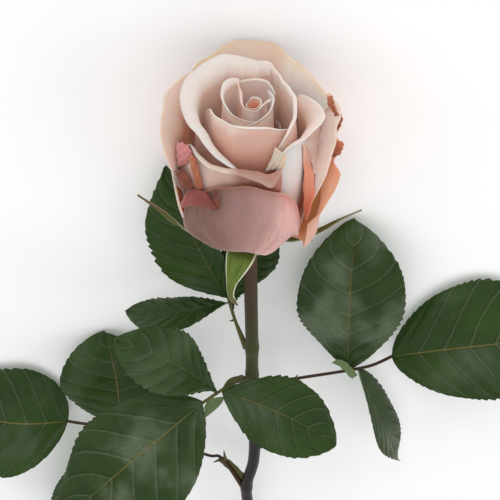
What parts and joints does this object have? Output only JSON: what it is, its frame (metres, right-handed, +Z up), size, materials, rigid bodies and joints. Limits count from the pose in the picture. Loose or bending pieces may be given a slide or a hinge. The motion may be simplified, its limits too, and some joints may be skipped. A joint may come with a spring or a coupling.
{
  "type": "cut rose",
  "caption": "Long-stemmed cut garden rose lying on its back, with a half-open pale pink bloom, green sepals and serrated compound leaves.",
  "frame": {"origin": "bottom centre of the bounding box of the lying rose, on the surface it rests on", "axes": "+Y along the stem towards the bloom, +Z up from the surface, +X to the right seen from the stem's cut end"},
  "size_m": [0.2662, 0.4032, 0.0691],
  "materials": {
    "petal": "soft satin, creamy pink with salmon depths",
    "sepal": "matte pale green",
    "hip": "satin green",
    "stem": "satin brown-green bark",
    "rachis": "satin green to maroon",
    "leaf": "semi-gloss dark green"
  },
  "bodies": {
    "root": {"hip": "hip", "leaf_back_left": "leaf", "leaf_back_rachis": "rachis", "leaf_back_right": "leaf", "leaf_back_terminal": "leaf", "leaf_front_left": "leaf", "leaf_front_rachis": "rachis", "leaf_front_right": "leaf", "leaf_front_terminal": "leaf", "leaf_left_lower": "leaf", "leaf_left_rachis": "rachis", "leaf_left_terminal": "leaf", "leaf_left_upper": "leaf", "leaf_right_lower": "leaf", "leaf_right_rachis": "rachis", "leaf_right_terminal": "leaf", "leaf_right_upper": "leaf", "petal_cup_front": "petal", "petal_cup_left": "petal", "petal_cup_right": "petal", "petal_curl": "petal", "petal_flap_right": "petal", "petal_fold_front": "petal", "petal_guard_back_left": "petal", "petal_guard_back_right": "petal", "petal_guard_front": "petal", "petal_guard_left": "petal", "petal_guard_right": "petal", "petal_heart": "petal", "petal_inner_back": "petal", "petal_inner_front": "petal", "petal_inner_left": "petal", "petal_middle_left": "petal", "petal_middle_right": "petal", "petal_outer_back": "petal", "petal_outer_left": "petal", "petal_outer_right": "petal", "sepal_back_left": "sepal", "sepal_back_right": "sepal", "sepal_front": "sepal", "sepal_left": "sepal", "sepal_right": "sepal", "stem": "stem"}
  },
  "joints": []
}
